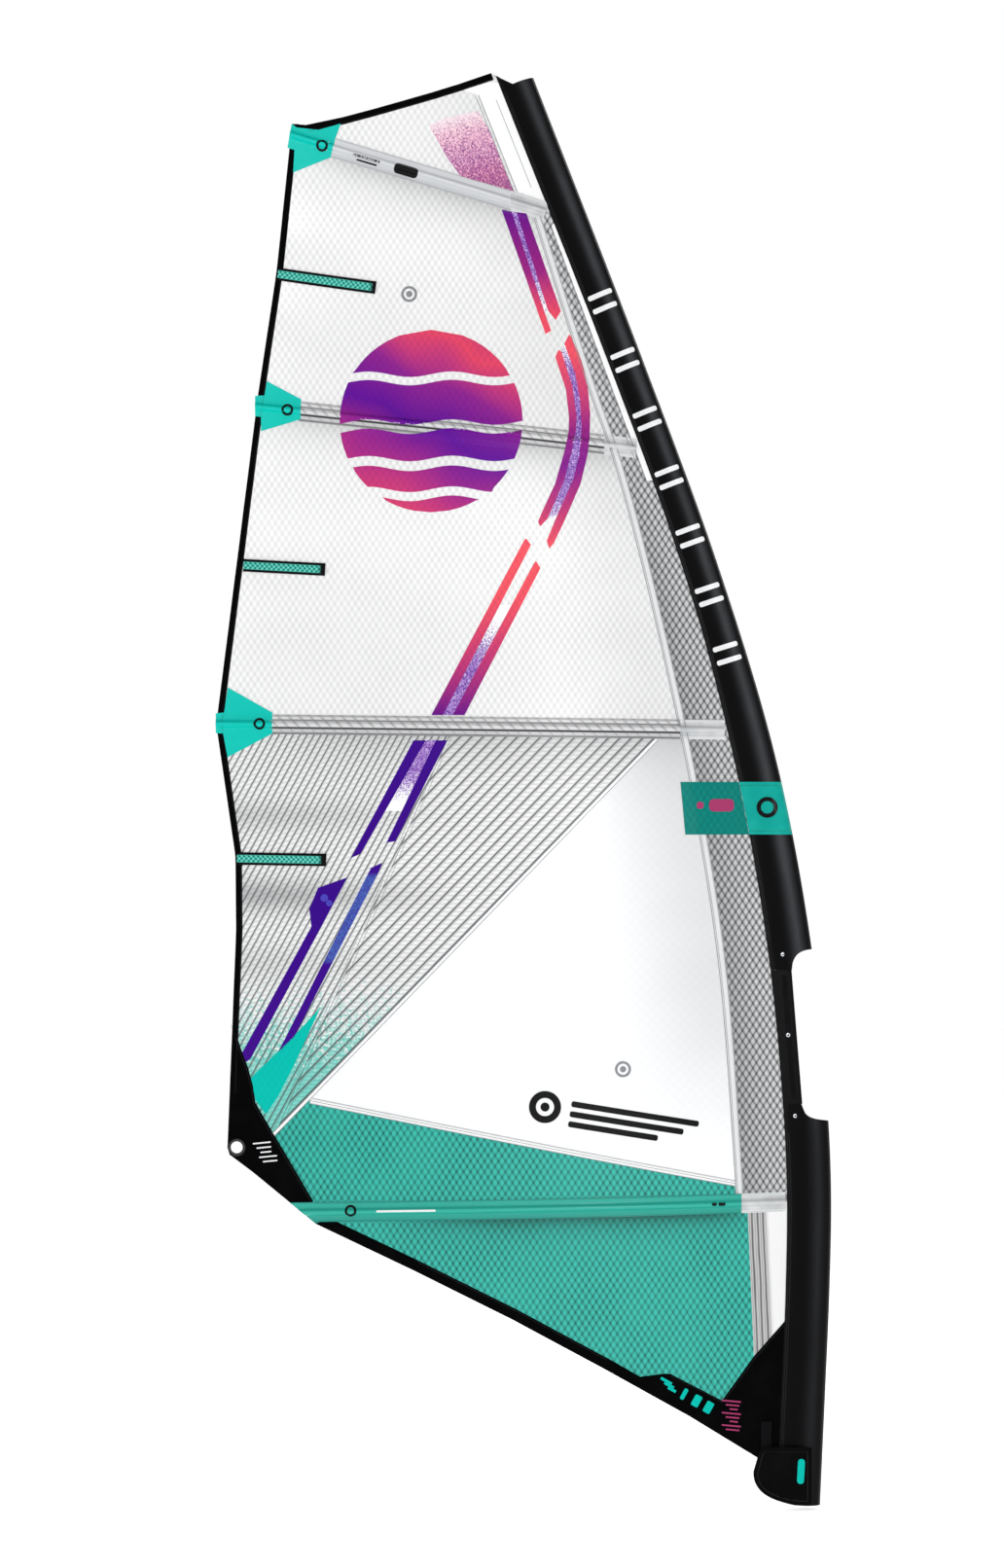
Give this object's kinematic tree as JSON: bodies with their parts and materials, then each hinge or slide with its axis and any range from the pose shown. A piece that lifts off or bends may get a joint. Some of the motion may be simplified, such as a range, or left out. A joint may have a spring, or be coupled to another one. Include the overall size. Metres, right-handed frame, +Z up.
{
  "type": "windsurf sail",
  "caption": "Rigged windsurf wave sail: film panels, curved luff sleeve with boom cut-out, battens in pockets, clew ring, tack pulley and covering flap.",
  "frame": {"origin": "on the mast's axis, in the mouth of the luff sleeve at the sail's foot", "axes": "+Z up the sail, +X from the leech towards the luff, -Y to leeward, the side the sail bellies out to"},
  "size_m": [1.7669, 0.1261, 4.114],
  "materials": {
    "film": "satin",
    "clear_film": "gloss",
    "teal_film": "satin",
    "mesh_film": "satin",
    "edge_tape": "matte",
    "sleeve_cloth": "matte",
    "teal_band": "satin",
    "webbing": "matte",
    "batten_rod": "satin",
    "grey_plastic": "satin",
    "black_plastic": "satin",
    "steel": "satin",
    "pocket_film": "satin",
    "guard": "satin",
    "mini_batten": "satin"
  },
  "bodies": {
    "sail": {"bottom_batten": "batten_rod", "bottom_batten_pocket": "teal_film", "bottom_batten_tip": "grey_plastic", "clew_patch": "edge_tape", "clew_ring": "black_plastic", "cutout_strip": "sleeve_cloth", "cutout_webbing": "webbing", "foot_panel_lower": "teal_film", "foot_panel_upper": "teal_film", "foot_tape": "edge_tape", "head_panel": "film", "head_tape": "edge_tape", "leech_tape": "edge_tape", "lower_batten": "batten_rod", "lower_batten_pocket": "pocket_film", "lower_batten_tip": "grey_plastic", "lower_leech_guard": "guard", "luff_band": "teal_band", "luff_cord_panel": "mesh_film", "luff_mesh_panel": "mesh_film", "mast_tip_cup": "black_plastic", "middle_panel": "film", "mini_batten_lower": "mini_batten", "mini_batten_middle": "mini_batten", "mini_batten_upper": "mini_batten", "pulley_axle": "steel", "pulley_frame": "steel", "pulley_strap": "webbing", "radial_panel": "film", "sleeve_1": "sleeve_cloth", "sleeve_2": "sleeve_cloth", "sleeve_3": "sleeve_cloth", "sleeve_4": "sleeve_cloth", "sleeve_above_boom": "sleeve_cloth", "sleeve_band": "teal_band", "sleeve_head": "sleeve_cloth", "sleeve_lower": "sleeve_cloth", "tack_patch": "edge_tape", "top_batten": "batten_rod", "top_batten_pocket": "pocket_film", "top_batten_tip": "grey_plastic", "top_leech_guard": "guard", "upper_batten": "batten_rod", "upper_batten_pocket": "pocket_film", "upper_batten_tip": "grey_plastic", "upper_leech_guard": "guard", "upper_panel": "film", "window_panel": "clear_film"},
    "bottom_tension_screw": {"bottom_tension_screw": "steel"},
    "bottom_tension_plug": {"bottom_tension_plug": "grey_plastic"},
    "lower_tension_screw": {"lower_tension_screw": "steel"},
    "lower_tension_plug": {"lower_tension_plug": "grey_plastic"},
    "upper_tension_screw": {"upper_tension_screw": "steel"},
    "upper_tension_plug": {"upper_tension_plug": "grey_plastic"},
    "top_tension_screw": {"top_tension_screw": "steel"},
    "top_tension_plug": {"top_tension_plug": "grey_plastic"},
    "pulley_roller_1": {"pulley_roller_1": "black_plastic"},
    "pulley_roller_2": {"pulley_roller_2": "black_plastic"},
    "pulley_roller_3": {"pulley_roller_3": "black_plastic"},
    "tack_flap": {"tack_flap": "sleeve_cloth"}
  },
  "joints": [
    {"name": "bottom_screw_turn", "type": "hinge", "parent": "sail", "child": "bottom_tension_screw", "pos_m": [-1.444, -0.0205, 0.8412], "axis": [0.9958, -0.089, 0.0215], "range_deg": [-1440, 0]},
    {"name": "bottom_plug_slide", "type": "slide", "parent": "sail", "child": "bottom_tension_plug", "axis": [0.9958, -0.089, 0.0215], "range_m": [-0.012, 0]},
    {"name": "lower_screw_turn", "type": "hinge", "parent": "sail", "child": "lower_tension_screw", "pos_m": [-1.692, -0.01494, 2.24389], "axis": [0.9995, -0.0298, -0.0123], "range_deg": [-1440, 0]},
    {"name": "lower_plug_slide", "type": "slide", "parent": "sail", "child": "lower_tension_plug", "axis": [0.9995, -0.0298, -0.0123], "range_m": [-0.012, 0]},
    {"name": "upper_screw_turn", "type": "hinge", "parent": "sail", "child": "upper_tension_screw", "pos_m": [-1.57605, -0.03699, 3.15203], "axis": [0.994, 0.0185, -0.1075], "range_deg": [-1440, 0]},
    {"name": "upper_plug_slide", "type": "slide", "parent": "sail", "child": "upper_tension_plug", "axis": [0.994, 0.0185, -0.1075], "range_m": [-0.012, 0]},
    {"name": "top_screw_turn", "type": "hinge", "parent": "sail", "child": "top_tension_screw", "pos_m": [-1.47836, -0.06728, 3.92748], "axis": [0.9483, 0.1551, -0.2769], "range_deg": [-1440, 0]},
    {"name": "top_plug_slide", "type": "slide", "parent": "sail", "child": "top_tension_plug", "axis": [0.9483, 0.1551, -0.2769], "range_m": [-0.012, 0]},
    {"name": "roller_1_spin", "type": "hinge", "parent": "sail", "child": "pulley_roller_1", "pos_m": [-0.133, 0, 0.062], "axis": [1, 0, 0], "continuous": true},
    {"name": "roller_2_spin", "type": "hinge", "parent": "sail", "child": "pulley_roller_2", "pos_m": [-0.121, 0, 0.062], "axis": [1, 0, 0], "continuous": true},
    {"name": "roller_3_spin", "type": "hinge", "parent": "sail", "child": "pulley_roller_3", "pos_m": [-0.109, 0, 0.062], "axis": [1, 0, 0], "continuous": true},
    {"name": "flap_hinge", "type": "hinge", "parent": "sail", "child": "tack_flap", "pos_m": [0.008, -0.036, 0.085], "axis": [0, 0, 1], "range_deg": [0, 150]}
  ],
  "couplings": [
    {"joint": "bottom_plug_slide", "follows": "bottom_screw_turn", "m_per_rad": 0.000477},
    {"joint": "lower_plug_slide", "follows": "lower_screw_turn", "m_per_rad": 0.000477},
    {"joint": "upper_plug_slide", "follows": "upper_screw_turn", "m_per_rad": 0.000477},
    {"joint": "top_plug_slide", "follows": "top_screw_turn", "m_per_rad": 0.000477}
  ]
}
